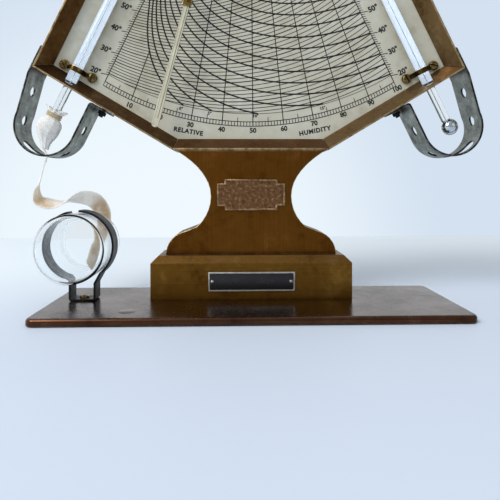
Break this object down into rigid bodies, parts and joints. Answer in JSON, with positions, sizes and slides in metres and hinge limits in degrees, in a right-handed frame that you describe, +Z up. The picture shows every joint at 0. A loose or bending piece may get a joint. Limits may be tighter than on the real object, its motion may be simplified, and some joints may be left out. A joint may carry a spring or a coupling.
{
  "type": "wet and dry bulb hygrometer",
  "caption": "Desk hygrometer: fan-shaped chart case with swinging index arm and slider, wet and dry bulb thermometers, guards, wick and clipped water bottle on a waisted stand.",
  "frame": {"origin": "middle of the underside of the base plate", "axes": "+Z up, the chart faces -Y, +X to the right as the chart is read"},
  "size_m": [0.2832, 0.078, 0.335],
  "materials": {
    "bronze": "aged, satin",
    "plinth_bronze": "aged, satin",
    "base_bronze": "aged, soft sheen",
    "brass": "dull polish",
    "copper": "stippled, aged",
    "steel": "dull zinc plate",
    "black_steel": "blued black",
    "card": "matt, printed",
    "wood": "oiled",
    "glass": "clear",
    "mercury": "liquid mirror",
    "cream": "cream enamel",
    "cotton": "knitted cotton",
    "thread": "waxed thread",
    "black_plate": "black enamel, bare border"
  },
  "bodies": {
    "stand": {"base_plate": "base_bronze", "base_screw_left": "brass", "base_screw_right": "brass", "plinth": "plinth_bronze", "nameplate": "black_plate", "nameplate_pin_left": "brass", "nameplate_pin_right": "brass", "neck_front": "bronze", "neck_back": "bronze", "neck_side_left": "bronze", "neck_side_right": "bronze", "neck_core": "wood", "neck_bolt_left": "steel", "neck_bolt_right": "steel", "case_bolt_left": "steel", "case_bolt_right": "steel", "neck_plaque": "copper", "case_lower_left": "bronze", "case_side_left": "bronze", "case_top": "bronze", "case_side_right": "bronze", "case_lower_right": "bronze", "case_bottom": "bronze", "case_back": "bronze", "chart_board": "wood", "chart_sheet": "card", "board_post_lower": "brass", "board_post_upper": "brass", "back_screw_lower": "brass", "back_screw_upper": "brass", "index_stud": "brass", "index_thumb_nut": "brass", "bottle_clip": "black_steel", "clip_screw": "brass", "wick_sleeve": "cotton", "wick_tape": "cotton", "wick_binding": "thread", "wet_thermometer_glass": "glass", "wet_thermometer_mercury": "mercury", "wet_saddle": "brass", "wet_saddle_screw_inner": "brass", "wet_saddle_screw_outer": "brass", "wet_upper_staple": "brass", "wet_bulb_guard": "steel", "wet_guard_bolt": "black_steel", "wet_guard_nut": "black_steel", "wet_guard_side_screw": "steel", "dry_thermometer_glass": "glass", "dry_thermometer_mercury": "mercury", "dry_saddle": "brass", "dry_saddle_screw_inner": "brass", "dry_saddle_screw_outer": "brass", "dry_upper_staple": "brass", "dry_bulb_guard": "steel", "dry_guard_bolt": "black_steel", "dry_guard_nut": "black_steel", "dry_guard_side_screw": "steel"},
    "index": {"index_arm": "cream"},
    "slider": {"index_slider": "brass"},
    "bottle": {"water_bottle": "glass"}
  },
  "joints": [
    {"name": "index_swing", "type": "hinge", "parent": "stand", "child": "index", "pos_m": [0, 0.0075, 0.319], "axis": [0, 1, 0], "range_deg": [-41, 11]},
    {"name": "pointer_slide", "type": "slide", "parent": "index", "child": "slider", "axis": [-0.2588, 0, -0.9659], "range_m": [-0.0975, 0.0495]},
    {"name": "bottle_slide", "type": "slide", "parent": "stand", "child": "bottle", "axis": [0, -1, 0], "range_m": [0, 0.055], "deforming": ["wick_tape"]}
  ]
}
